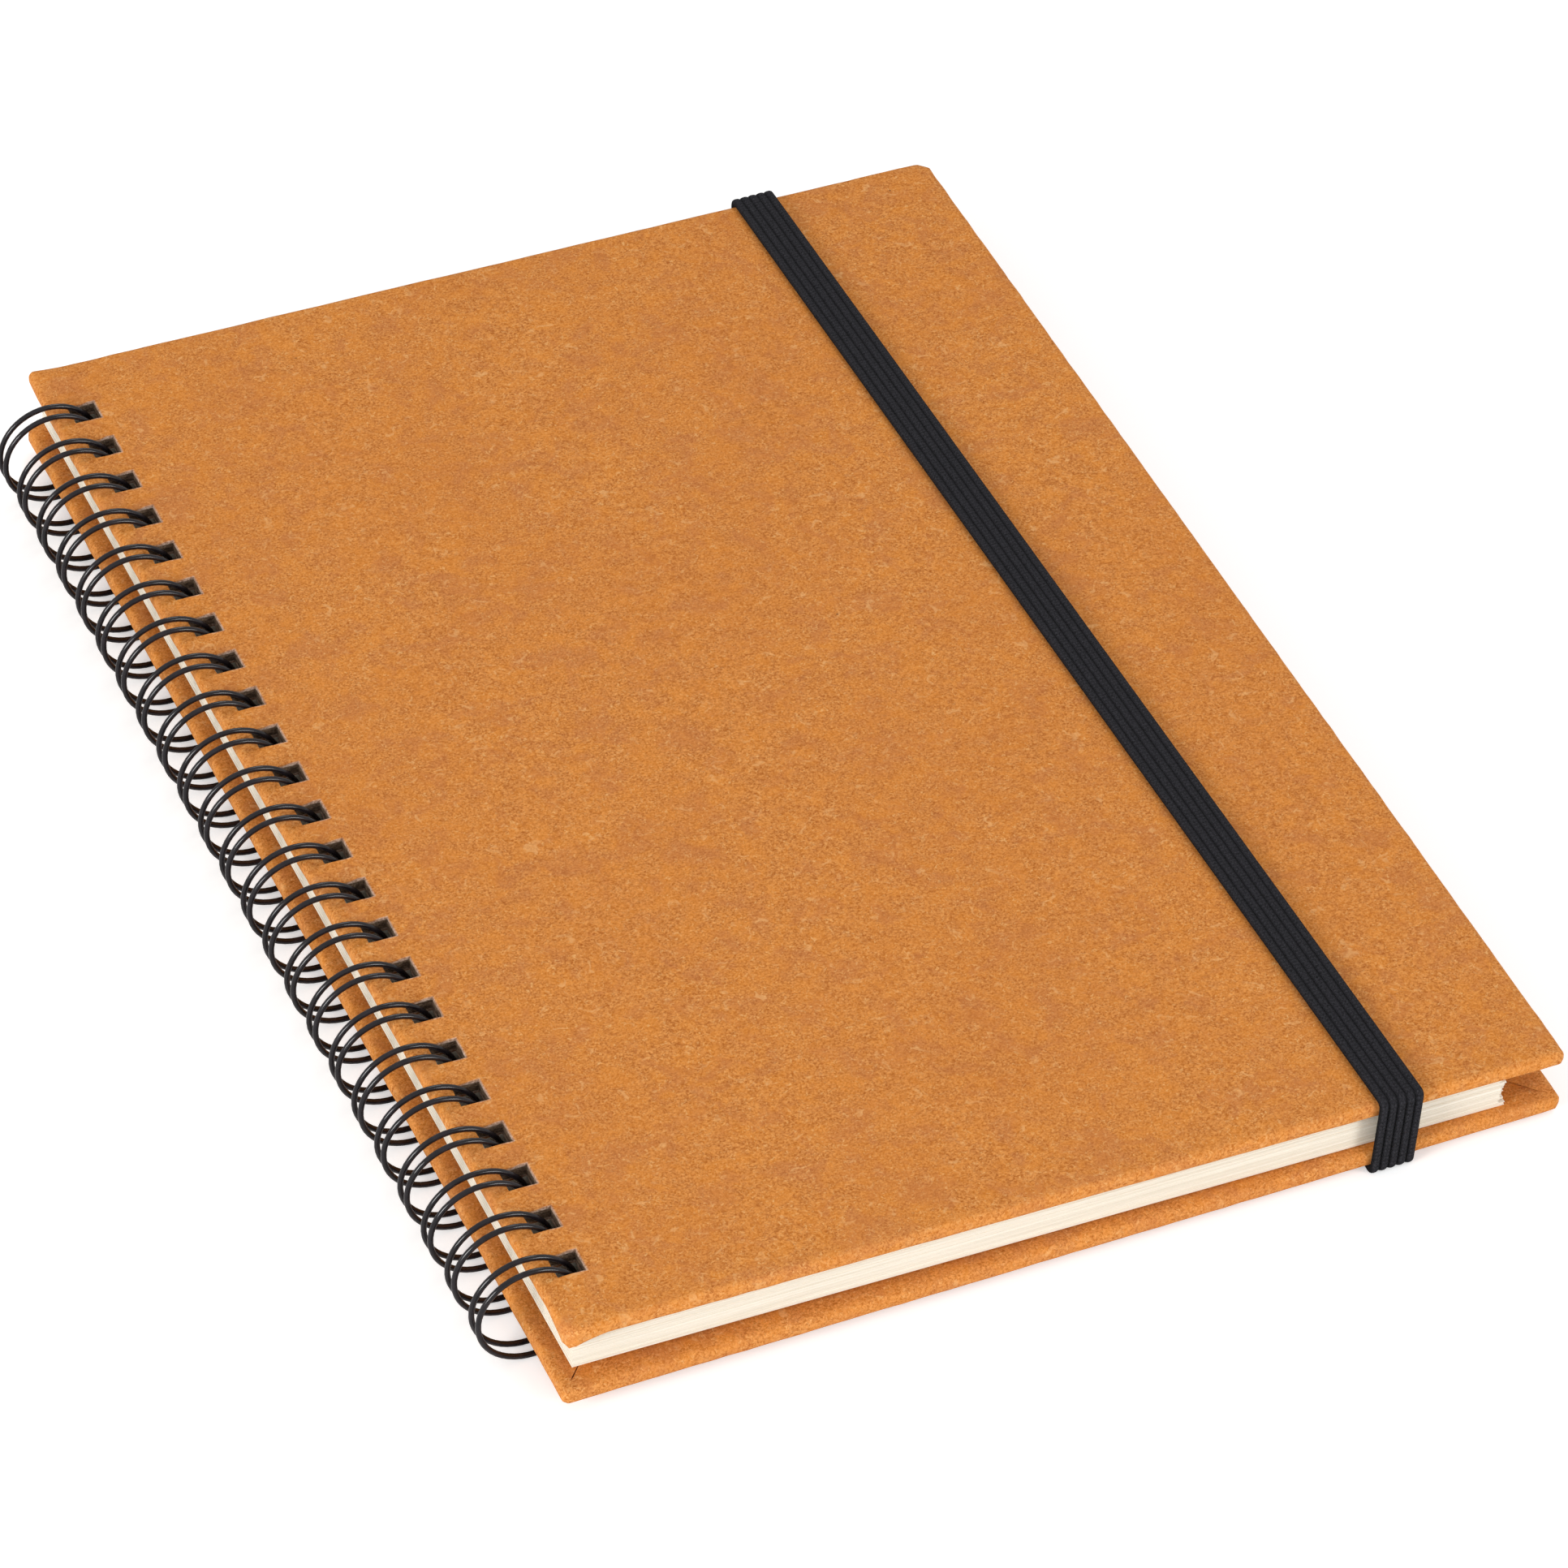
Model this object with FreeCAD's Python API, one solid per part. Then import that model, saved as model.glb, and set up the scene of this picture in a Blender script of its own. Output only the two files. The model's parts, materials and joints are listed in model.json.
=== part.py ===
import FreeCAD, Part
import math
import os

# Spiral notebook: two leather-wrapped board covers and a block of pages hang on one
# twin-loop wire, and an elastic band fixed in the back cover holds it shut.
# X runs from the binding to the fore edge, Y from the near end to the far end, Z up.
# The origin is under the middle of the notebook, level with its lowest point.
# Sizes are millimetres.

# Covers
cover_length = 209.6
front_cover_width = 140.4
cover_thickness = 2.3
leather_thickness = 0.45
turn_in_width = 13.0
corner_nip = 1.5
edge_round = 0.7
mitre_width = 0.3
mitre_depth = 0.25
# The near edge of the back cover stands out past the front cover's, more so at the binding
back_near_reach_binding = 1.3
back_near_reach_fore = 0.15

# Pages
page_end_inset = 1.4
page_width = 131.4
page_block_thickness = 5.6

# Edges beside the binding, measured from the axis of the wire rings
front_spine_gap = 0.5
back_spine_overhang = 0.3
page_spine_gap = 1.9

# Punched holes: the row holds as many as fit between the margins at the covers' ends
hole_pitch = 8.467
hole_size = 4.0
cover_hole_start = 3.2
least_end_margin = 8.0

# Twin-loop wire
wire_diameter = 0.8
leg_spacing = 2.4
root_bend_radius = 0.8
cut_end_length = 1.0
ring_clearance = 0.2
page_hole_clearance = 0.45
seam_clearance = 0.3
tip_gap = 0.3

# Elastic band
elastic_width = 6.4
elastic_thickness = 0.9
elastic_from_fore_edge = 25.9
elastic_lean_deg = 1.0
elastic_bend_radius = 0.8
elastic_side_gap = 0.5
elastic_face_gap = 0.05
slit_inset = 12.0
slit_clearance = 0.1

# Cutters reach this far past the faces that they open
cut_margin = 1.0

# Worked out from the dimensions above
half_length = cover_length / 2
page_length = cover_length - 2 * page_end_inset
loop_count = 1 + int((cover_length - 2 * least_end_margin - hole_size) / hole_pitch)
fore_edge = front_spine_gap + front_cover_width
page_fore_edge = page_spine_gap + page_width
half_hole = hole_size / 2
wire_radius = wire_diameter / 2
half_spacing = leg_spacing / 2
# The closed seam of the wire lies on the back cover and holds the pages off it, so the
# pages and the front cover slope down from the binding to the pages' fore edge
seam_gap = wire_diameter + 2 * seam_clearance
slope = seam_gap / (page_fore_edge - cover_hole_start - hole_size)
binding_lift = slope * (page_fore_edge - cover_hole_start)
half_stack = (2 * cover_thickness + page_block_thickness + binding_lift) / 2
ring_inner_radius = math.hypot(cover_hole_start, half_stack) + ring_clearance
ring_radius = ring_inner_radius + wire_radius
ring_outer_radius = ring_radius + wire_radius
page_hole_start = ring_outer_radius + page_hole_clearance - hole_size
elastic_reach = half_length + elastic_side_gap + elastic_thickness
near_reach = max(elastic_reach, half_length + back_near_reach_binding)

# The ring axis and the middle of the covers, seen from the origin
axis_x = (ring_outer_radius - fore_edge) / 2
axis_z = max(ring_outer_radius, half_stack + elastic_face_gap + elastic_thickness)
mid_y = (near_reach - elastic_reach) / 2
back_outside_z = axis_z - half_stack
back_inside_z = back_outside_z + cover_thickness
front_inside_z = back_inside_z + page_block_thickness
front_outside_z = front_inside_z + cover_thickness


def tilted(shape):
    """Lays a piece built level on the back cover at its real slope, about the pages' lower fore edge."""
    pivot = FreeCAD.Vector(axis_x + page_fore_edge, 0, back_inside_z)
    shape.rotate(pivot, FreeCAD.Vector(0, 1, 0), math.degrees(math.atan(slope)))
    return shape


def slab(face, z_from, z_to):
    """Extrudes a face drawn at height 0 so that it fills the space between two heights."""
    low = min(z_from, z_to)
    body = face.extrude(FreeCAD.Vector(0, 0, abs(z_to - z_from)))
    body.translate(FreeCAD.Vector(0, 0, low))
    return body


def polygon_face(points):
    corners = [FreeCAD.Vector(x, y, 0) for x, y in points]
    return Part.Face(Part.makePolygon(corners + corners[:1]))


def nipped(points, nip):
    """Cuts each corner of an outline off, nip along both of its sides."""
    result = []
    for index, corner in enumerate(points):
        here = FreeCAD.Vector(corner[0], corner[1], 0)
        for other in (points[index - 1], points[(index + 1) % len(points)]):
            side = FreeCAD.Vector(other[0], other[1], 0) - here
            cut = here + side.normalize() * nip
            result.append((cut.x, cut.y))
    return result


def hole_centres():
    """The Y of each hole of the punched row."""
    first = -(loop_count - 1) / 2 * hole_pitch
    return [mid_y + first + index * hole_pitch for index in range(loop_count)]


def hole_row(start, z_from, z_to):
    """A row of square punches that starts at the given distance from the ring axis."""
    low = min(z_from, z_to) - cut_margin
    height = abs(z_to - z_from) + 2 * cut_margin
    punches = []
    for y in hole_centres():
        corner = FreeCAD.Vector(axis_x + start, y - half_hole, low)
        punches.append(Part.makeBox(hole_size, hole_size, height, corner))
    return Part.makeCompound(punches)


# Outlines of the two covers, counter-clockwise from the near end of the binding edge
front_outline = [
    (axis_x + front_spine_gap, mid_y - half_length),
    (axis_x + fore_edge, mid_y - half_length),
    (axis_x + fore_edge, mid_y + half_length),
    (axis_x + front_spine_gap, mid_y + half_length),
]
back_outline = [
    (axis_x - back_spine_overhang, mid_y - half_length - back_near_reach_binding),
    (axis_x + fore_edge, mid_y - half_length - back_near_reach_fore),
    (axis_x + fore_edge, mid_y + half_length),
    (axis_x - back_spine_overhang, mid_y + half_length),
]


def cover_board(outline, outside_z, inside_z):
    """The board core, one leather thickness inside the cover on every side."""
    face = polygon_face(nipped(outline, corner_nip)).makeOffset2D(-leather_thickness)
    inward = math.copysign(leather_thickness, inside_z - outside_z)
    board = slab(face, outside_z + inward, inside_z - inward)
    return board.cut(hole_row(cover_hole_start, outside_z, inside_z))


def cover_liner(outline, outside_z, inside_z):
    """The liner card, flush inside the frame of the leather's turned-in edges."""
    face = polygon_face(outline).makeOffset2D(-turn_in_width)
    inward = math.copysign(leather_thickness, inside_z - outside_z)
    return slab(face, inside_z - inward, inside_z)


def mitre_grooves(outline, inside_z, inward):
    """Shallow folds in the turned-in leather, from each corner of the cover to the liner."""
    inner = polygon_face(outline).makeOffset2D(-turn_in_width)
    grooves = []
    for corner in outline:
        start = FreeCAD.Vector(corner[0], corner[1], 0)
        ends = [vertex.Point for vertex in inner.Vertexes]
        end = min(ends, key=lambda point: point.distanceToPoint(start))
        along = (end - start).normalize()
        start = start + along * (corner_nip + edge_round)
        end = end + along * mitre_width
        across = FreeCAD.Vector(-along.y, along.x, 0) * (mitre_width / 2)
        sides = [start - across, end - across, end + across, start + across]
        strip = polygon_face([(point.x, point.y) for point in sides])
        grooves.append(slab(strip, inside_z - inward * mitre_depth, inside_z + inward * cut_margin))
    return Part.makeCompound(grooves)


def cover_leather(outline, outside_z, inside_z):
    """The leather wrap: the whole outer face, the rounded edges and the turned-in margin."""
    inward = math.copysign(1, inside_z - outside_z)
    blank = slab(polygon_face(nipped(outline, corner_nip)), outside_z, inside_z)
    rims = [edge for edge in blank.Edges if abs(edge.tangentAt(edge.FirstParameter).z) < 0.5]
    wrap = blank.makeFillet(edge_round, rims)
    core = polygon_face(nipped(outline, corner_nip)).makeOffset2D(-leather_thickness)
    wrap = wrap.cut(slab(core, outside_z + inward * leather_thickness, inside_z - inward * leather_thickness))
    recess = polygon_face(outline).makeOffset2D(-turn_in_width)
    wrap = wrap.cut(slab(recess, inside_z - inward * 2 * leather_thickness, inside_z + inward * cut_margin))
    wrap = wrap.cut(mitre_grooves(outline, inside_z, inward))
    return wrap.cut(hole_row(cover_hole_start, outside_z, inside_z))


def page_block():
    """All the pages as one block, punched like the covers."""
    near = mid_y - page_length / 2
    corner = FreeCAD.Vector(axis_x + page_spine_gap, near, back_inside_z)
    block = Part.makeBox(page_width, page_length, page_block_thickness, corner)
    return tilted(block.cut(hole_row(page_hole_start, back_inside_z, front_inside_z)))


# Angles round the ring, in radians from the fore side, rising towards the front cover.
# The seam lies between the last page and the back cover: the loops leave it upwards
# and their tips come back to it from below.
seam_height = back_inside_z + seam_clearance + wire_radius - axis_z
seam_radius = math.hypot(ring_radius, root_bend_radius)
seam_angle = math.asin(seam_height / seam_radius)
leg_start = seam_angle + math.atan(root_bend_radius / ring_radius)
tip_angle = seam_angle + 2 * math.pi - (tip_gap + wire_diameter) / ring_radius
leg_end = tip_angle - math.atan(half_spacing / ring_radius)
along_y = FreeCAD.Vector(0, 1, 0)


def ring_point(angle, y, radius=ring_radius):
    return FreeCAD.Vector(axis_x + radius * math.cos(angle), y, axis_z + radius * math.sin(angle))


def ring_tangent(angle):
    return FreeCAD.Vector(-math.sin(angle), 0, math.cos(angle))


def wire_arc(centre, axis, start, angle):
    """Turns the wire's round section about an axis, starting at a point of its centre line."""
    section = Part.Circle(start, axis.cross(start - centre), wire_radius)
    return Part.Face(Part.Wire(section.toShape())).revolve(centre, axis, math.degrees(angle))


def wire_run(y_from, y_to):
    """A straight run of the seam between two loops."""
    start = ring_point(seam_angle, y_from, seam_radius)
    return Part.makeCylinder(wire_radius, y_to - y_from, start, along_y)


def wire_loop():
    """One double loop at Y 0: a bend out of the seam, a leg, the tip, the second leg, a bend back."""
    centre = FreeCAD.Vector(axis_x, 0, axis_z)
    pieces = []
    for side in (-1, 1):
        offset = along_y * (side * half_spacing)
        root = ring_point(leg_start, 0) + offset
        pieces.append(wire_arc(centre + offset, -along_y, root, leg_end - leg_start))
        bend_centre = root + along_y * (side * root_bend_radius)
        bend_axis = along_y.cross(ring_tangent(leg_start)) * side
        pieces.append(wire_arc(bend_centre, bend_axis, root, math.pi / 2))
    tip_centre = ring_point(leg_end, 0)
    tip_axis = along_y.cross(ring_tangent(leg_end))
    pieces.append(wire_arc(tip_centre, tip_axis, tip_centre + along_y * half_spacing, math.pi))
    return pieces[0].multiFuse(pieces[1:])


def twin_loop_wire():
    """One continuous wire: every double loop and the runs of the seam between them."""
    loop = wire_loop()
    root_reach = half_spacing + root_bend_radius
    rows = hole_centres()
    pieces = [wire_run(rows[0] - root_reach - cut_end_length, rows[0] - root_reach)]
    for y in rows:
        placed = loop.copy()
        placed.translate(along_y * y)
        pieces.append(placed)
    for y, following in zip(rows, rows[1:]):
        pieces.append(wire_run(y + root_reach, following - root_reach))
    pieces.append(wire_run(rows[-1] + root_reach, rows[-1] + root_reach + cut_end_length))
    return pieces[0].multiFuse(pieces[1:]).removeSplitter()


def band_face(points, bend_radius, thickness):
    """A flat strip of constant thickness along a path in the YZ plane, with rounded bends."""
    path = [FreeCAD.Vector(0, y, z) for y, z in points]
    sides = {1: [], -1: []}
    ends = {1: [], -1: []}
    normals = [FreeCAD.Vector(1, 0, 0).cross((b - a).normalize()) for a, b in zip(path, path[1:])]
    for side in sides:
        offset = side * thickness / 2
        last = path[0] + normals[0] * offset
        ends[side].append(last)
        for before, corner, after, n1, n2 in zip(path, path[1:], path[2:], normals, normals[1:]):
            d1 = (corner - before).normalize()
            d2 = (after - corner).normalize()
            trim = bend_radius * math.tan(d1.getAngle(d2) / 2)
            turn = math.copysign(1, n1.dot(d2))
            centre = corner - d1 * trim + n1 * (turn * bend_radius)
            arc_start = corner - d1 * trim + n1 * offset
            arc_end = corner + d2 * trim + n2 * offset
            radius = bend_radius - turn * offset
            outward = ((corner - d1 * trim - centre) + (corner + d2 * trim - centre)).normalize()
            sides[side].append(Part.LineSegment(last, arc_start).toShape())
            sides[side].append(Part.Arc(arc_start, centre + outward * radius, arc_end).toShape())
            last = arc_end
        finish = path[-1] + normals[-1] * offset
        sides[side].append(Part.LineSegment(last, finish).toShape())
        ends[side].append(finish)
    caps = [Part.LineSegment(ends[1][k], ends[-1][k]).toShape() for k in (0, 1)]
    return Part.Face(Part.Wire(Part.__sortEdges__(sides[1] + sides[-1] + caps)))


def lean(shape):
    """Turns a piece of the elastic band to its slight slant across the cover."""
    centre = FreeCAD.Vector(axis_x + fore_edge - elastic_from_fore_edge, mid_y, 0)
    shape.translate(centre)
    shape.rotate(centre, FreeCAD.Vector(0, 0, 1), elastic_lean_deg)
    return shape


def elastic_band():
    """The band over the closed notebook; its two ends go through slits in the back cover."""
    half_band = elastic_thickness / 2
    end_y = half_length - slit_inset
    end_z = back_inside_z - leather_thickness
    under_z = back_outside_z - elastic_face_gap - half_band
    side_y = half_length + elastic_side_gap + half_band
    lean_shift = half_length * math.tan(math.radians(elastic_lean_deg))
    spine_side = fore_edge - elastic_from_fore_edge - elastic_width / 2 - lean_shift
    top_z = front_outside_z + slope * (page_fore_edge - spine_side) + elastic_face_gap + half_band
    path = [(-end_y, end_z), (-end_y, under_z), (-side_y, under_z), (-side_y, top_z)]
    path += [(-y, z) for y, z in reversed(path)]
    band = band_face(path, elastic_bend_radius, elastic_thickness)
    band.translate(FreeCAD.Vector(-elastic_width / 2, 0, 0))
    return lean(band.extrude(FreeCAD.Vector(elastic_width, 0, 0)))


def elastic_slits():
    """The two slits in the back cover's outer leather and board that the band's ends fill."""
    size_x = elastic_width + 2 * slit_clearance
    size_y = elastic_thickness + 2 * slit_clearance
    height = cover_thickness - leather_thickness + cut_margin
    slits = []
    for side in (-1, 1):
        centre_y = side * (half_length - slit_inset)
        corner = FreeCAD.Vector(-size_x / 2, centre_y - size_y / 2, back_outside_z - cut_margin)
        slits.append(lean(Part.makeBox(size_x, size_y, height, corner)))
    return Part.makeCompound(slits)


def export(name, shape):
    if shape.ShapeType == "Compound" and len(shape.Solids) == 1:
        shape = shape.Solids[0]
    print(name, "solids", len(shape.Solids), "volume", round(shape.Volume, 2), "valid", shape.isValid())
    shape.exportStep("parts/" + name + ".step")


os.makedirs("parts", exist_ok=True)

export("front_cover_board", tilted(cover_board(front_outline, front_outside_z, front_inside_z)))
export("front_cover_leather", tilted(cover_leather(front_outline, front_outside_z, front_inside_z)))
export("front_cover_liner", tilted(cover_liner(front_outline, front_outside_z, front_inside_z)))
slits = elastic_slits()
export("back_cover_board", cover_board(back_outline, back_outside_z, back_inside_z).cut(slits))
export("back_cover_leather", cover_leather(back_outline, back_outside_z, back_inside_z).cut(slits))
export("back_cover_liner", cover_liner(back_outline, back_outside_z, back_inside_z))
export("page_block", page_block())
export("twin_loop_wire", twin_loop_wire())
export("elastic_band", elastic_band())
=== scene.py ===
import json
import math
import random

import bmesh
import bpy
from mathutils import Matrix, Vector, noise

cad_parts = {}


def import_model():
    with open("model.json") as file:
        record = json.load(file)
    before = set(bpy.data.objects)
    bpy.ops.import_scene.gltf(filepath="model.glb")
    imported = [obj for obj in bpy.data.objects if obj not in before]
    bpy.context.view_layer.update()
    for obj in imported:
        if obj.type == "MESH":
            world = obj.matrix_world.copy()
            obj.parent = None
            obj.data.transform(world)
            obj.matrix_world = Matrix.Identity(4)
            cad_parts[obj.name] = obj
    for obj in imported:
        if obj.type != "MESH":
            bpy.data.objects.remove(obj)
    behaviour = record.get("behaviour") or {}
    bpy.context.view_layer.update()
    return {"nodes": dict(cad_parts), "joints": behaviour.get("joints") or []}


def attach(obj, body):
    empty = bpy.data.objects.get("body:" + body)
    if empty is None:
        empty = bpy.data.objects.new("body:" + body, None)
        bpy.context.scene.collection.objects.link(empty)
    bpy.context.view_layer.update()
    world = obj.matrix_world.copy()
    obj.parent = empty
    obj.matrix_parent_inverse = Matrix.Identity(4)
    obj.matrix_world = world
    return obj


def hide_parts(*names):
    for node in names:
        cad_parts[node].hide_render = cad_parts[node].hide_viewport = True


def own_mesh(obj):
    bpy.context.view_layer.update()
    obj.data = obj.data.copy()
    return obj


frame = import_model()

# A spiral notebook: leather-wrapped board covers and cream pages on a black twin-loop wire,
# held shut by a black ribbed elastic. Lengths are millimetres until a mesh is made.
MM = 0.001

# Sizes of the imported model
cover_thickness = 2.3
leather_thickness = 0.45
turn_in_width = 13.0
back_near_reach_binding = 1.3
back_near_reach_fore = 0.15
page_block_thickness = 5.6
page_length = 206.8
page_start = 1.9
page_end = 133.3
front_spine_edge = 0.5
back_spine_edge = -0.3
fore_edge = 140.9
half_length = 104.8
hole_pitch = 8.467
hole_count = 23
hole_size = 4.0
cover_hole_start = 3.2
wire_diameter = 0.8
leg_spacing = 2.4
root_bend_radius = 0.8
cut_end_length = 1.0
seam_clearance = 0.3
ring_clearance = 0.2
page_hole_clearance = 0.45
tip_gap = 0.3
elastic_width = 6.4
elastic_thickness = 0.9
elastic_from_fore_edge = 25.9
elastic_lean_deg = 1.0
elastic_bend_radius = 0.8
elastic_side_gap = 0.5
elastic_top_gap = 0.08
elastic_face_gap = 0.05
slit_inset = 12.0

# Worked out from them
ring_axis = Vector(frame["joints"][0]["pos_m"]) / MM
wire_radius = wire_diameter / 2
seam_gap = wire_diameter + 2 * seam_clearance
slope = seam_gap / (page_end - cover_hole_start - hole_size)
half_stack = cover_thickness + (page_block_thickness + slope * (page_end - cover_hole_start)) / 2
ring_radius = math.hypot(cover_hole_start, half_stack) + ring_clearance + wire_radius
page_hole_start = ring_radius + wire_radius + page_hole_clearance - hole_size
back_outside = ring_axis.z - half_stack
back_inside = back_outside + cover_thickness
front_inside = back_inside + page_block_thickness
front_outside = front_inside + cover_thickness
hole_rows = [(index - (hole_count - 1) / 2) * hole_pitch for index in range(hole_count)]
slope_turn = Matrix.Rotation(math.atan(slope), 4, "Y")
slope_pivot = Vector((ring_axis.x + page_end, 0, back_inside))
slope_matrix = Matrix.Translation(slope_pivot) @ slope_turn @ Matrix.Translation(-slope_pivot)


def srgb(red, green, blue):
    """A colour written as 0 to 255 values, as the linear colour that a shader socket takes."""
    return tuple(((c / 255 + 0.055) / 1.055) ** 2.4 for c in (red, green, blue)) + (1.0,)


class Nodes:
    """Short calls that build one material's node tree."""

    def __init__(self, name, roughness, specular=0.5):
        self.material = bpy.data.materials.new(name)
        self.material.use_nodes = True
        self.tree = self.material.node_tree
        self.tree.nodes.clear()
        self.shader = self.add("ShaderNodeBsdfPrincipled", Roughness=roughness)
        self.shader.inputs["Specular IOR Level"].default_value = specular
        output = self.add("ShaderNodeOutputMaterial")
        self.link(self.shader.outputs["BSDF"], output.inputs["Surface"])
        self.place = self.add("ShaderNodeTexCoord").outputs["Object"]

    def add(self, kind, **inputs):
        node = self.tree.nodes.new(kind)
        for name, value in inputs.items():
            socket = node.inputs[name.replace("_", " ")]
            if isinstance(value, bpy.types.NodeSocket):
                self.link(value, socket)
            else:
                socket.default_value = value
        return node

    def link(self, output, socket):
        self.tree.links.new(output, socket)

    def stretched(self, x, y, z):
        """Object coordinates scaled by a factor along each axis."""
        return self.add("ShaderNodeMapping", Vector=self.place, Scale=(x, y, z)).outputs["Vector"]

    def noise(self, size_mm, detail=3.0, roughness=0.5, distortion=0.0, vector=None):
        """Noise whose lumps are about the given size."""
        node = self.add("ShaderNodeTexNoise", Vector=vector or self.place, Scale=1 / (size_mm * MM),
                        Detail=detail, Roughness=roughness, Distortion=distortion)
        return node.outputs["Fac"]

    def ramp(self, value, low, high, to_low=0.0, to_high=1.0):
        """Maps a value range to another, clamped at both ends."""
        node = self.add("ShaderNodeMapRange", Value=value)
        node.clamp = True
        node.inputs["From Min"].default_value = low
        node.inputs["From Max"].default_value = high
        node.inputs["To Min"].default_value = to_low
        node.inputs["To Max"].default_value = to_high
        return node.outputs["Result"]

    def math(self, operation, first, second=0.0):
        node = self.tree.nodes.new("ShaderNodeMath")
        node.operation = operation
        for socket, value in zip(node.inputs, (first, second)):
            if isinstance(value, bpy.types.NodeSocket):
                self.link(value, socket)
            else:
                socket.default_value = value
        return node.outputs["Value"]

    def mix(self, factor, first, second, blend="MIX"):
        node = self.tree.nodes.new("ShaderNodeMix")
        node.data_type = "RGBA"
        node.blend_type = blend
        sockets = [s for s in node.inputs if s.enabled and s.type in ("VALUE", "RGBA")]
        for socket, value in zip(sockets, (factor, first, second)):
            if isinstance(value, bpy.types.NodeSocket):
                self.link(value, socket)
            else:
                socket.default_value = value
        return [s for s in node.outputs if s.enabled][0]

    def attribute(self, name):
        node = self.tree.nodes.new("ShaderNodeAttribute")
        node.attribute_name = name
        return node.outputs["Fac"]

    def colour(self, value):
        self.link(value, self.shader.inputs["Base Color"])

    def bump(self, heights):
        """Stacks bumps given as (height, depth in mm) pairs."""
        normal = None
        for height, depth in heights:
            node = self.add("ShaderNodeBump", Height=height, Distance=depth * MM, Strength=1.0)
            if normal is not None:
                self.link(normal, node.inputs["Normal"])
            normal = node.outputs["Normal"]
        self.link(normal, self.shader.inputs["Normal"])


def leather_material():
    m = Nodes("bonded_leather", 0.8, 0.2)
    fine = m.noise(0.35, 3.0, 0.6, 0.5)
    fleck = m.noise(0.62, 2.0, 0.55, 1.6)
    crumb = m.noise(1.1, 2.0, 0.5, 0.8)
    patch = m.noise(3.0, 3.0, 0.6, 0.4)
    cloud = m.noise(22.0, 3.0)
    colour = m.mix(m.ramp(fine, 0.33, 0.67), srgb(172, 94, 24), srgb(232, 156, 82))
    colour = m.mix(m.ramp(patch, 0.4, 0.65, 0.0, 0.4), colour, srgb(230, 142, 48))
    blush = m.noise(5.0, 3.0, 0.6, 0.6)
    colour = m.mix(m.ramp(blush, 0.5, 0.66, 0.0, 0.4), colour, srgb(188, 114, 66))
    flake = m.noise(1.9, 2.0, 0.6, 1.0)
    colour = m.mix(m.ramp(flake, 0.62, 0.72, 0.0, 0.5), colour, srgb(240, 182, 118))
    colour = m.mix(m.ramp(crumb, 0.42, 0.3, 0.0, 0.3), colour, srgb(162, 88, 34))
    colour = m.mix(m.ramp(fleck, 0.60, 0.72, 0.0, 0.6), colour, srgb(244, 190, 122))
    colour = m.mix(m.ramp(cloud, 0.4, 0.7, 0.0, 0.16), colour, srgb(196, 114, 48))
    fibre_route = m.noise(1.2, 1.0, 0.5, 1.0)
    ridge = m.math("ABSOLUTE", m.math("SUBTRACT", fibre_route, 0.5))
    fibre = m.math("MULTIPLY", m.ramp(ridge, 0.02, 0.006), m.ramp(crumb, 0.5, 0.62))
    colour = m.mix(m.math("MULTIPLY", fibre, 0.3), colour, srgb(240, 190, 124))
    wear = m.math("MULTIPLY", m.attribute("wear"), m.ramp(fine, 0.35, 0.6, 0.0, 0.3))
    colour = m.mix(wear, colour, srgb(228, 158, 88))
    cell = m.add("ShaderNodeTexVoronoi", Vector=m.place, Scale=1 / (13.0 * MM))
    speck = m.ramp(cell.outputs["Distance"], 0.022, 0.01)
    colour = m.mix(m.math("MULTIPLY", speck, 0.75), colour, srgb(70, 44, 26))
    # Pale colour of cut leather for the hole rims. Where it is put on the outer face's fore rim only, it is
    # also painted light.
    cut = m.mix(m.ramp(fine, 0.35, 0.65), srgb(138, 108, 90), srgb(216, 194, 178))
    colour = m.mix(m.attribute("cut"), colour, cut)
    m.colour(colour)
    m.bump([(patch, 0.05), (crumb, 0.03), (fine, 0.04)])
    return m.material


def greyboard_material():
    m = Nodes("greyboard", 0.95, 0.1)
    layers = m.noise(0.3, 3.0, 0.6, 0.3, m.stretched(0.3, 0.3, 1.0))
    fibres = m.noise(0.25, 3.0, 0.7, 0.8)
    # The board's colours are set as dark as the shaded slot interiors look. This is painted shade added to
    # the greyboard's own grey-brown tone.
    colour = m.mix(m.ramp(layers, 0.35, 0.65), srgb(72, 55, 42), srgb(130, 107, 87))
    m.colour(m.mix(m.ramp(fibres, 0.5, 0.75, 0.0, 0.6), colour, srgb(196, 172, 148)))
    m.bump([(fibres, 0.08)])
    return m.material


def liner_material():
    m = Nodes("liner_card", 0.8, 0.25)
    fibres = m.noise(0.5, 4.0, 0.65, 0.5)
    cloud = m.noise(18.0, 3.0)
    colour = m.mix(m.ramp(fibres, 0.35, 0.7), srgb(236, 226, 204), srgb(246, 238, 220))
    m.colour(m.mix(m.ramp(cloud, 0.4, 0.7, 0.0, 0.3), colour, srgb(232, 220, 196)))
    m.bump([(fibres, 0.02)])
    return m.material


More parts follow.
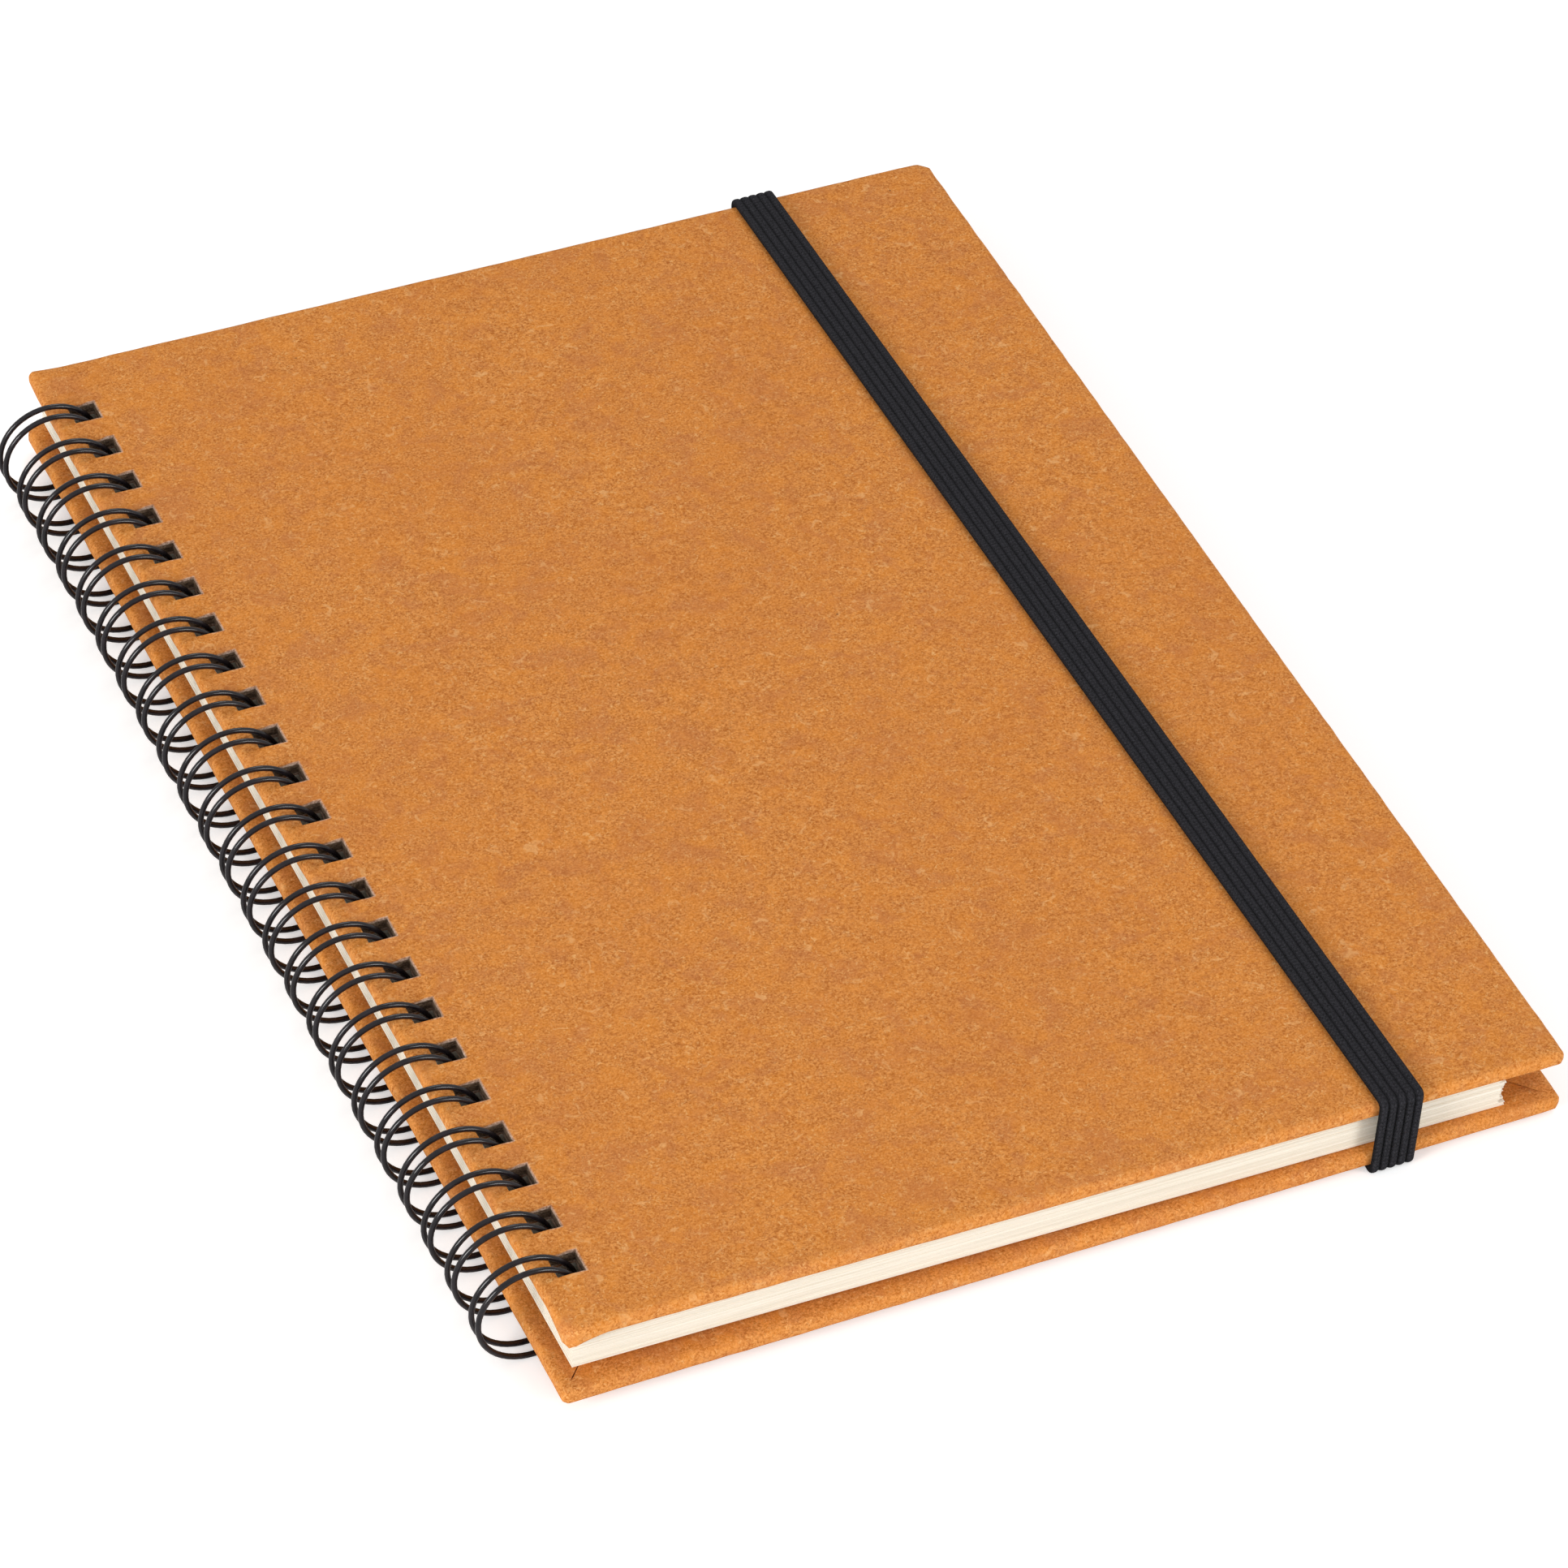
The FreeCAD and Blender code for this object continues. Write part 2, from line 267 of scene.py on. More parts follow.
def paper_material():
    m = Nodes("cream_paper", 0.9, 0.15)
    layers = m.noise(0.16, 2.0, 0.7, 0.1, m.stretched(0.004, 0.004, 1.0))
    bands = m.noise(0.9, 2.0, 0.5, 0.0, m.stretched(0.004, 0.004, 1.0))
    fibres = m.noise(0.4, 4.0, 0.65, 0.5)
    facing = m.add("ShaderNodeSeparateXYZ", Vector=m.add("ShaderNodeTexCoord").outputs["Normal"])
    on_edge = m.ramp(m.math("ABSOLUTE", facing.outputs["Z"]), 0.9, 0.5)
    edge = m.mix(m.ramp(layers, 0.35, 0.65), srgb(226, 217, 199), srgb(250, 244, 231))
    edge = m.mix(m.ramp(bands, 0.4, 0.62, 0.0, 0.3), edge, srgb(230, 220, 200))
    colour = m.mix(on_edge, srgb(248, 242, 228), edge)
    m.colour(m.mix(m.ramp(fibres, 0.45, 0.75, 0.0, 0.2), colour, srgb(236, 224, 198)))
    m.bump([(fibres, 0.01)])
    return m.material


def wire_material():
    m = Nodes("black_coated_wire", 0.2, 0.35)
    blotch = m.noise(1.4, 3.0)
    m.colour(m.mix(m.ramp(blotch, 0.35, 0.7), srgb(20, 16, 19), srgb(32, 27, 31)))
    m.link(m.ramp(blotch, 0.3, 0.7, 0.14, 0.24), m.shader.inputs["Roughness"])
    m.bump([(m.noise(0.35, 2.0), 0.004)])
    return m.material


wale_pitch = 0.43
course_pitch = 0.62


def elastic_material():
    """Knit whose stitches lean left and right in turn, laid out along and across the band."""
    m = Nodes("black_knitted_elastic", 0.9, 0.12)
    wale = m.math("FRACT", m.math("MULTIPLY", m.attribute("span"), 1 / wale_pitch))
    lean_side = m.math("ABSOLUTE", m.math("SUBTRACT", wale, 0.5))
    phase = m.math("ADD", m.math("MULTIPLY", m.attribute("run"), 1 / course_pitch), lean_side)
    stitch = m.math("SINE", m.math("MULTIPLY", phase, 2 * math.pi))
    stitch = m.ramp(stitch, -1.0, 1.0)
    gap = m.ramp(lean_side, 0.5, 0.36)
    knit = m.math("MULTIPLY", stitch, gap)
    yarn = m.noise(0.3, 3.0, 0.65, 0.8)
    # The yarn's tone varies at random. Its lighter threads are partly painted highlight on the yarn.
    colour = m.mix(m.ramp(yarn, 0.35, 0.7), srgb(17, 17, 19), srgb(52, 51, 56))
    # Stitch tops are painted lighter, a painted highlight where the knit is raised.
    colour = m.mix(m.math("MULTIPLY", knit, 0.4), colour, srgb(66, 65, 70))
    # The grooves between ribs are painted near-black, painted shade in the grooves.
    colour = m.mix(m.ramp(m.attribute("rib"), 0.8, 0.3, 0.0, 0.8), colour, srgb(8, 8, 9))
    m.colour(colour)
    m.bump([(knit, 0.12), (yarn, 0.10)])
    return m.material


leather = leather_material()
greyboard = greyboard_material()
liner_card = liner_material()
paper = paper_material()
black_wire = wire_material()
black_elastic = elastic_material()


def new_piece(name, points, faces, body, material, replaced=(), sharp_deg=50, values=None):
    """Makes a mesh piece from points in millimetres and hangs it on its CAD body."""
    mesh = bpy.data.meshes.new(name)
    mesh.from_pydata([Vector(p) * MM for p in points], [], faces)
    shape = bmesh.new()
    shape.from_mesh(mesh)
    bmesh.ops.recalc_face_normals(shape, faces=shape.faces)
    shape.to_mesh(mesh)
    shape.free()
    mesh.polygons.foreach_set("use_smooth", [True] * len(mesh.polygons))
    mesh.set_sharp_from_angle(angle=math.radians(sharp_deg))
    for key, column in (values or {}).items():
        mesh.attributes.new(key, "FLOAT", "POINT").data.foreach_set("value", column)
    mesh.materials.append(material)
    piece = bpy.data.objects.new(name, mesh)
    bpy.context.scene.collection.objects.link(piece)
    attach(piece, body)
    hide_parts(*replaced)
    return piece


def dress_node(node, material):
    """Gives a CAD node that is kept its finished material."""
    mesh = frame["nodes"][node].data
    mesh.materials.clear()
    mesh.materials.append(material)


class Shell:
    """Collects points and faces, sharing each point by its key."""

    def __init__(self):
        self.points = []
        self.faces = []
        self.keys = {}
        self.values = {"wear": [], "cut": []}

    def point(self, key, place, wear=0.0, cut=0.0):
        if key not in self.keys:
            self.keys[key] = len(self.points)
            self.points.append(place())
            self.values["wear"].append(wear)
            self.values["cut"].append(cut)
        return self.keys[key]

    def face(self, corners):
        distinct = [c for k, c in enumerate(corners) if c != corners[k - 1]]
        if len(distinct) > 2:
            self.faces.append(distinct)


# Leather wraps of the covers
edge_round = 0.8
edge_lines = [edge_round * (1 - math.cos(math.radians(a))) for a in (0, 18, 36, 54, 72, 90)]
rim_band = 0.25
inner_fade = 2.2
corner_zone = 6.0
grid_step_x = 2.4
grid_step_y = 1.6
reach_fade = 8.0
wave_size = 9.0
wave_height = 0.05
waver_size = 3.0
waver = 0.10
waver_reach = 1.6
rim_waver = 0.12
rim_waver_rate = 1.7
ear_length = 6.5
ear_width = 1.3
curl_length = 8.0
wear_reach = 1.8
most_wear = 0.8
# Strength of the pale cut colour on the outer face, on each hole's fore rim only. It is the cut's own
# paleness plus painted light, where the light from the binding side falls on the fore wall.
outer_rim_cut = 0.7
slit_gap = 0.06
slit_opening = 0.22
slit_opening_fade = 1.2
flap_tuck = 0.1
# The slits start at this grid line, so the fold stays whole at the corner's edge
slit_start = 7


def merged(lines):
    """Grid lines in order, each kept once."""
    result = []
    for line in sorted(lines):
        if not result or line - result[-1] > 1e-3:
            result.append(line)
    return result


def filled(lines, spacing):
    """Adds even lines wherever two grid lines are further apart than the spacing."""
    result = []
    for low, high in zip(lines, lines[1:]):
        count = max(1, round((high - low) / spacing))
        result += [low + (high - low) * k / count for k in range(count)]
    return result + [lines[-1]]


class Wrap:
    """One cover's leather: the outer face, the rounded edges and four turned-in flaps."""

    def __init__(self, spine, outside, inside, reach, nips, ear, flare, sloped, seed):
        self.spine = spine
        self.outside = outside
        self.inside = inside
        self.inward = math.copysign(1, inside - outside)
        self.reach = reach
        self.nips = nips
        self.ear = ear
        self.flare = flare
        self.sloped = sloped
        self.seed = seed
        self.width = fore_edge - spine
        hole_low = cover_hole_start - spine
        hole_x = [hole_low - rim_band, hole_low + hole_size + rim_band]
        hole_x += [hole_low + k for k in range(5)]
        first_hole = half_length + hole_rows[0] - hole_size / 2
        hole_y = [first_hole - rim_band] + [first_hole + k for k in range(5)]
        corner = merged(edge_lines + [1.5, inner_fade, turn_in_width] + hole_x + hole_y)
        corner = filled([d for d in corner if d <= turn_in_width], grid_step_y)
        self.corner_count = len(corner)
        far = [self.width - d for d in corner]
        self.xs = filled(merged(corner + far), grid_step_x)
        ys = corner + [2 * half_length - d for d in corner]
        for row in hole_rows:
            middle = row + half_length
            ys += [middle + k for k in (-2, -1, 0, 1, 2)]
            ys += [middle - 2 - rim_band, middle + 2 + rim_band]
        self.ys = filled(merged(ys), grid_step_y)
        self.holes = (hole_low, hole_low + hole_size)
        self.shell = Shell()

    def in_hole(self, x, y):
        if not self.holes[0] < x < self.holes[1]:
            return False
        row = (y - half_length) / hole_pitch + (hole_count - 1) / 2
        near = round(row)
        return 0 <= near < hole_count and abs(row - near) * hole_pitch < hole_size / 2

    def on_hole_rim(self, x, y):
        """Whether a grid point is on the wall of a punched hole."""
        slack = 0.01
        if not self.holes[0] - slack < x < self.holes[1] + slack:
            return False
        row = (y - half_length) / hole_pitch + (hole_count - 1) / 2
        near = round(row)
        return 0 <= near < hole_count and abs(row - near) * hole_pitch < hole_size / 2 + slack

    def sides(self, x, y):
        """Distances from the binding, near, fore and far edges."""
        return x, y, self.width - x, 2 * half_length - y

    def flap(self, x, y):
        sides = self.sides(x, y)
        return sides.index(min(sides))

    def inset(self, distance):
        """Where a grid line lies on the inside of the leather."""
        if distance >= inner_fade:
            return distance
        return leather_thickness + distance * (inner_fade - leather_thickness) / inner_fade

    def plan(self, x, y, inner):
        """The grid point in the plane of the cover, with the corners nipped off."""
        if inner:
            x = self.inset(x) if x < self.width / 2 else self.width - self.inset(self.width - x)
            y = self.inset(y) if y < half_length else 2 * half_length - self.inset(2 * half_length - y)
        right = x > self.width / 2
        upper = y > half_length
        a = self.width - x if right else x
        b = 2 * half_length - y if upper else y
        nip = self.nips[(2 if upper else 0) + (1 if right else 0)]
        if a < corner_zone and b < corner_zone:
            da, db = corner_zone - a, corner_zone - b
            reach = max(da, db)
            full = (da + db) / reach * corner_zone
            scale = min(1.0, (2 * corner_zone - nip) / full)
            a, b = corner_zone - da * scale, corner_zone - db * scale
        x = self.width - a if right else a
        y = 2 * half_length - b if upper else b
        skew = self.reach[0] + (self.reach[1] - self.reach[0]) * x / self.width
        fade = max(0.0, 1 - y / reach_fade)
        return x + self.spine, y - half_length - skew * fade

    def drop(self, x, y, radius):
        """How far the rounded edge has fallen below the flat face."""
        short = [max(0.0, radius - d) for d in self.sides(x, y)]
        out = min(radius, max(short))
        return radius - math.sqrt(radius * radius - out * out)

    def place(self, x, y, face, inner, push=(0.0, 0.0, 0.0)):
        """The point of a grid point on one of the four surfaces, or part way down the edge."""
        px, py = self.plan(x, y, inner)
        radius = edge_round - leather_thickness if inner else edge_round
        skin = leather_thickness if inner else 0.0
        depth = self.drop(x, y, radius) + skin
        top = self.outside + self.inward * depth
        bottom = self.inside - self.inward * depth
        z = top + (bottom - top) * face
        along = max(0.0, 1 - max(x, y) / ear_length)
        z += self.inward * self.ear * face * along * along * max(0.0, 1 - min(x, y) / ear_width)
        curl = max(0.0, 1 - max(x, 2 * half_length - y) / curl_length)
        z -= self.inward * self.flare * curl * curl
        here = Vector((px / wave_size, py / wave_size, self.seed))
        wave = noise.noise(here) * wave_height * (1 - face)
        edge = min(self.sides(x, y))
        if edge < waver_reach:
            amount = waver * (1 - edge / waver_reach)
            px += noise.noise(Vector((px / waver_size, py / waver_size, self.seed + 5.0))) * amount
            py += noise.noise(Vector((py / waver_size, px / waver_size, self.seed + 9.0))) * amount
        if self.on_hole_rim(x, y):
            rate = rim_waver_rate
            px += noise.noise(Vector((px * rate, py * rate, self.seed + 2.0))) * rim_waver
            py += noise.noise(Vector((py * rate, px * rate, self.seed + 3.0))) * rim_waver
        point = Vector((ring_axis.x + px + push[0], py + push[1], z + wave + push[2]))
        return slope_matrix @ point if self.sloped else point

    def wear(self, x, y):
        """How much paler the leather is rubbed, 0 to 1, along the edges of the cover."""
        edge = min(self.sides(x, y))
        return max(0.0, 1 - edge / wear_reach) * most_wear

    def vertex(self, i, j, face, inner, flap=None):
        """The shared point at a grid crossing, on the outer face (0) or the turned-in face (1)."""
        x, y = self.xs[i], self.ys[j]
        push = (0.0, 0.0, 0.0)
        tag = None
        if face == 1 and flap is not None and self.on_slit(i, j):
            tag = flap
            a = min(x, self.width - x)
            gap = slit_gap + slit_opening * math.exp(-(a - 1.0) / slit_opening_fade)
            right, upper = x > self.width / 2, y > half_length
            if flap in (0, 2):
                push = (gap if right else -gap, 0.0, 0.0)
            else:
                push = (0.0, gap if upper else -gap, -flap_tuck * self.inward if not inner else 0.0)
        cut = 0.0
        # The hole rims take the pale cut colour all round on the leather's underside. On the outer face they
        # take it on the fore side only, where it is partly the cut's own paleness and partly painted light,
        # since the light from the binding side falls on the hole's fore wall.
        if self.on_hole_rim(x, y):
            cut = 1.0 if inner else outer_rim_cut * (x > sum(self.holes) / 2)
        key = (i, j, face, inner, tag)
        return self.shell.point(key, lambda: self.place(x, y, face, inner, push), self.wear(x, y), cut)

    def on_slit(self, i, j):
        """Whether a grid point lies on the fold between two flaps."""
        i = min(i, len(self.xs) - 1 - i)
        j = min(j, len(self.ys) - 1 - j)
        return i == j and slit_start <= i < self.corner_count

    def build(self):
        columns, rows = len(self.xs) - 1, len(self.ys) - 1
        face = self.shell.face
        last = self.corner_count - 1
        for i in range(columns):
            for j in range(rows):
                x = (self.xs[i] + self.xs[i + 1]) / 2
                y = (self.ys[j] + self.ys[j + 1]) / 2
                if self.in_hole(x, y):
                    self.hole_walls(i, j)
                    continue
                ring = [(i, j), (i + 1, j), (i + 1, j + 1), (i, j + 1)]
                face([self.vertex(a, b, 0, False) for a, b in ring])
                face([self.vertex(a, b, 0, True) for a, b in reversed(ring)])
                if min(self.sides(x, y)) > turn_in_width:
                    continue
                for flap, part in self.flap_parts(i, j, ring):
                    face([self.vertex(a, b, 1, False, flap) for a, b in reversed(part)])
                    face([self.vertex(a, b, 1, True, flap) for a, b in part])
        self.edges(columns, rows)
        self.slit_walls(columns, rows, last)
        self.rim_walls(columns, rows, last)

    def flap_parts(self, i, j, ring):
        """A cell of the turned-in margin whole, or split along the fold at a corner."""
        columns, rows = len(self.xs) - 1, len(self.ys) - 1
        a, b = min(i, columns - 1 - i), min(j, rows - 1 - j)
        x = (self.xs[i] + self.xs[i + 1]) / 2
        y = (self.ys[j] + self.ys[j + 1]) / 2
        if a != b or a >= self.corner_count:
            return [(self.flap(x, y), ring)]
        left, lower = i < columns / 2, j < rows / 2
        across = 0 if left else 2
        along = 1 if lower else 3
        halves = ((0, 1, 2), (0, 2, 3)) if left == lower else ((0, 1, 3), (1, 2, 3))
        flaps = (along, across) if lower else (across, along)
        return [(flap, [ring[k] for k in half]) for flap, half in zip(flaps, halves)]

    def hole_walls(self, i, j):
        """The cut leather round a punched hole, on the outer face and on the flap."""
        step = [((i, j), (i + 1, j), (0, -1)), ((i + 1, j), (i + 1, j + 1), (1, 0)),
                ((i + 1, j + 1), (i, j + 1), (0, 1)), ((i, j + 1), (i, j), (-1, 0))]
        for first, second, (di, dj) in step:
            x = (self.xs[i + di] + self.xs[i + di + 1]) / 2
            y = (self.ys[j + dj] + self.ys[j + dj + 1]) / 2
            if self.in_hole(x, y):
                continue
            for layer in (0, 1):
                pair = [self.vertex(*first, layer, False), self.vertex(*second, layer, False)]
                under = [self.vertex(*second, layer, True), self.vertex(*first, layer, True)]
                ring = pair + under
                self.shell.face(ring if layer == 0 else ring[::-1])

    def edges(self, columns, rows):
        """The outside and the inside of the leather as it goes round the edge of the board."""
        loop = [(i, 0) for i in range(columns)] + [(columns, j) for j in range(rows)]
        loop += [(i, rows) for i in range(columns, 0, -1)] + [(0, j) for j in range(rows, 0, -1)]
        levels = [0, 0.33, 0.67, 1]
        for first, second in zip(loop, loop[1:] + loop[:1]):
            for upper, lower in zip(levels, levels[1:]):
                for inner in (False, True):
                    ring = [self.vertex(*first, upper, inner), self.vertex(*first, lower, inner),
                            self.vertex(*second, lower, inner), self.vertex(*second, upper, inner)]
                    self.shell.face(ring[::-1] if inner else ring)

    def cut_edge(self, first, second, flap):
        """The raw edge of a flap between two grid points."""
        return [self.vertex(*first, 1, False, flap), self.vertex(*second, 1, False, flap),
                self.vertex(*second, 1, True, flap), self.vertex(*first, 1, True, flap)]

    def slit_walls(self, columns, rows, last):
        """The two cut edges that meet at the fold of each corner."""
        for right in (False, True):
            for upper in (False, True):
                for k in range(slit_start - 1, last):
                    ends = []
                    for step in (k, k + 1):
                        ends.append((columns - step if right else step, rows - step if upper else step))
                    for flap in (2 if right else 0, 3 if upper else 1):
                        ring = self.cut_edge(*ends, flap)
                        flip = (flap in (0, 2)) != (right != upper)
                        self.shell.face(ring[::-1] if flip else ring)

    def rim_walls(self, columns, rows, last):
        """The raw edge of the turned-in leather round the liner."""
        runs = [(1, [(i, last) for i in range(last, columns - last + 1)]),
                (2, [(columns - last, j) for j in range(last, rows - last + 1)]),
                (3, [(i, rows - last) for i in range(columns - last, last - 1, -1)]),
                (0, [(last, j) for j in range(rows - last, last - 1, -1)])]
        for flap, run in runs:
            for first, second in zip(run, run[1:]):
                self.shell.face(self.cut_edge(first, second, flap))


def wrapped_cover(name, body, node, **options):
    wrap = Wrap(**options)
    wrap.build()
    shell = wrap.shell
    faces = shell.faces if wrap.inward < 0 else [f[::-1] for f in shell.faces]
    return new_piece(name, shell.points, faces, body, leather, [node], 50, shell.values)


# Corner nips run near-binding, near-fore, far-binding, far-fore
wrapped_cover("front_leather_wrap", "front_cover", "front_cover_leather", spine=front_spine_edge,
              outside=front_outside, inside=front_inside, reach=(0.0, 0.0),
              nips=(1.5, 0.6, 0.6, 1.5), ear=2.0, flare=0.5, sloped=True, seed=1.0)
wrapped_cover("back_leather_wrap", "back_cover", "back_cover_leather", spine=back_spine_edge,
              outside=back_outside, inside=back_inside,
              reach=(back_near_reach_binding, back_near_reach_fore),
              nips=(0.5, 0.8, 1.2, 1.5), ear=0.0, flare=0.0, sloped=False, seed=4.0)


# Pages
sheet_count = 56
sheet_gap = 0.012
sheets_in_group = (2, 6)
group_step_fore = 0.8
group_step = 0.14
sheet_step_fore = 0.5


def page_sheets():
    """Loose punched sheets, grouped by small steps as a cut block of paper settles."""
    dice = random.Random(7)
    pitch = page_block_thickness / sheet_count
    points, faces = [], []
    group_left = 0
    for sheet in range(sheet_count):
        if group_left == 0:
            group_left = dice.randint(*sheets_in_group)
            fore_shift = dice.uniform(-group_step_fore, 0.0)
            near_shift = dice.uniform(0.0, group_step)
            spine_shift = dice.uniform(0.0, group_step)
        group_left -= 1
        fore = page_end + fore_shift + dice.uniform(-sheet_step_fore, 0.0)
        spine = page_start + spine_shift + dice.uniform(0.0, 0.05)
        near = -page_length / 2 + near_shift + dice.uniform(0.0, 0.04)
        far = page_length / 2 - dice.uniform(0.0, 0.1)
        low = back_inside + sheet * pitch + sheet_gap / 2
        high = low + pitch - sheet_gap
        xs = [spine, page_hole_start, page_hole_start + hole_size, fore]
        ys = [near]
        for row in hole_rows:
            ys += [row - hole_size / 2, row + hole_size / 2]
        ys.append(far)
        base = len(points)
        count = len(ys)
        for z in (low, high):
            for x in xs:
                points.extend(slope_matrix @ Vector((ring_axis.x + x, y, z)) for y in ys)

        def at(layer, i, j):
            return base + (layer * len(xs) + i) * count + j

        def solid(i, j):
            inside = 0 <= i < len(xs) - 1 and 0 <= j < count - 1
            return inside and not (i == 1 and j % 2 == 1)

        for i in range(len(xs) - 1):
            for j in range(count - 1):
                if not solid(i, j):
                    continue
                faces.append([at(1, i, j), at(1, i + 1, j), at(1, i + 1, j + 1), at(1, i, j + 1)])
                faces.append([at(0, i, j + 1), at(0, i + 1, j + 1), at(0, i + 1, j), at(0, i, j)])
                walls = [((i, j), (i + 1, j), (i, j - 1)), ((i + 1, j), (i + 1, j + 1), (i + 1, j)),
                         ((i + 1, j + 1), (i, j + 1), (i, j + 1)), ((i, j + 1), (i, j), (i - 1, j))]
                for first, second, beyond in walls:
                    if not solid(*beyond):
                        faces.append([at(0, *first), at(0, *second), at(1, *second), at(1, *first)])
    return points, faces


page_points, page_faces = page_sheets()
new_piece("page_sheets", page_points, page_faces, "pages", paper, ["page_block"], 20)


# Twin-loop wire
leg_steps = 44
tip_steps = 12
bend_steps = 6
section_sides = 14
seam_height = back_inside + seam_clearance + wire_radius - ring_axis.z
seam_angle = math.asin(seam_height / math.hypot(ring_radius, root_bend_radius))
leg_start = seam_angle + math.atan(root_bend_radius / ring_radius)
leg_end = (seam_angle + 2 * math.pi - (tip_gap + wire_diameter) / ring_radius
           - math.atan(leg_spacing / 2 / ring_radius))
along_y = Vector((0, 1, 0))


def ring_point(angle, y):
    x = ring_axis.x + ring_radius * math.cos(angle)
    return Vector((x, y, ring_axis.z + ring_radius * math.sin(angle)))


def ring_tangent(angle):
    return Vector((-math.sin(angle), 0, math.cos(angle)))


def wire_route():
    """The wire's centre line from one cut end to the other."""
    half = leg_spacing / 2
    bend = [math.pi / 2 * k / bend_steps for k in range(bend_steps + 1)]
    route = []
    for y in hole_rows:
        start = ring_tangent(leg_start)
        end = ring_tangent(leg_end)
        angles = [leg_start + (leg_end - leg_start) * k / leg_steps for k in range(leg_steps + 1)]
        bends = {}
        for side in (-1, 1):
            middle = ring_point(leg_start, y + side * (half + root_bend_radius))
            bends[side] = [middle - along_y * (side * root_bend_radius * math.cos(a))
                           - start * (root_bend_radius * math.sin(a)) for a in bend]
        turn = [math.pi * k / tip_steps for k in range(tip_steps + 1)]
        tip_root = ring_point(leg_end, y)
        tip = [tip_root - along_y * (half * math.cos(a)) + end * (half * math.sin(a)) for a in turn]
        route += bends[-1][::-1]
        route += [ring_point(a, y - half) for a in angles[1:]]
        route += tip[1:]
        route += [ring_point(a, y + half) for a in reversed(angles[:-1])]
        route += bends[1][1:]
    route.insert(0, route[0] - along_y * cut_end_length)
    route.append(route[-1] + along_y * cut_end_length)
    return route


def tube(route, radius, sides):
    """A round tube with flat ends along a route, its section carried along without twist."""
    points, faces = [], []
    tangents = []
    for index, here in enumerate(route):
        before = route[max(index - 1, 0)]
        after = route[min(index + 1, len(route) - 1)]
        tangents.append((after - before).normalized())
    across = tangents[0].orthogonal().normalized()
    for index, (here, tangent) in enumerate(zip(route, tangents)):
        if index:
            across = tangents[index - 1].rotation_difference(tangent) @ across
        across = (across - tangent * across.dot(tangent)).normalized()
        other = tangent.cross(across)
        for k in range(sides):
            angle = 2 * math.pi * k / sides
            points.append(here + (across * math.cos(angle) + other * math.sin(angle)) * radius)
    for ring in range(len(route) - 1):
        for k in range(sides):
            low, following = ring * sides, (k + 1) % sides
            faces.append([low + k, low + following, low + sides + following, low + sides + k])
    faces.append(list(range(sides))[::-1])
    faces.append([len(points) - sides + k for k in range(sides)])
    return points, faces


wire_points, wire_faces = tube(wire_route(), wire_radius, section_sides)
new_piece("wire_loops", wire_points, wire_faces, "back_cover", black_wire,
          ["twin_loop_wire"], 60)


# Elastic band
rib_count = 5
rib_steps = 8
rib_depth_top = 0.2
rib_depth_side = 0.3
run_step = 0.4
near_lean = 1.1
rib_sharpness = 0.6
shoulder_width = 0.3
edge_share = 0.35


def rounded_route(corners, radius, step):
    """Points along a polyline in a plane, its corners rounded, with the unit direction at each."""
    route = [(corners[0], (corners[1] - corners[0]).normalized())]
    for before, corner, after in zip(corners, corners[1:], corners[2:]):
        d1 = (corner - before).normalized()
        d2 = (after - corner).normalized()
        turn = d1.angle(d2)
        trim = radius * math.tan(turn / 2)
        run_to(route, corner - d1 * trim, d1, step)
        inward = (d2 - d1 * d2.dot(d1)).normalized()
        centre = corner - d1 * trim + inward * radius
        arc_steps = 8
        for k in range(1, arc_steps + 1):
            a = turn * k / arc_steps
            here = centre - inward * (radius * math.cos(a)) + d1 * (radius * math.sin(a))
            route.append((here, d1 * math.cos(a) + inward * math.sin(a)))
    run_to(route, corners[-1], (corners[-1] - corners[-2]).normalized(), step)
    return route


def run_to(route, target, direction, step):
    """Adds even steps to the route up to the target."""
    start = route[-1][0]
    count = max(1, round((target - start).length / step))
    for k in range(1, count + 1):
        route.append((start.lerp(target, k / count), direction))


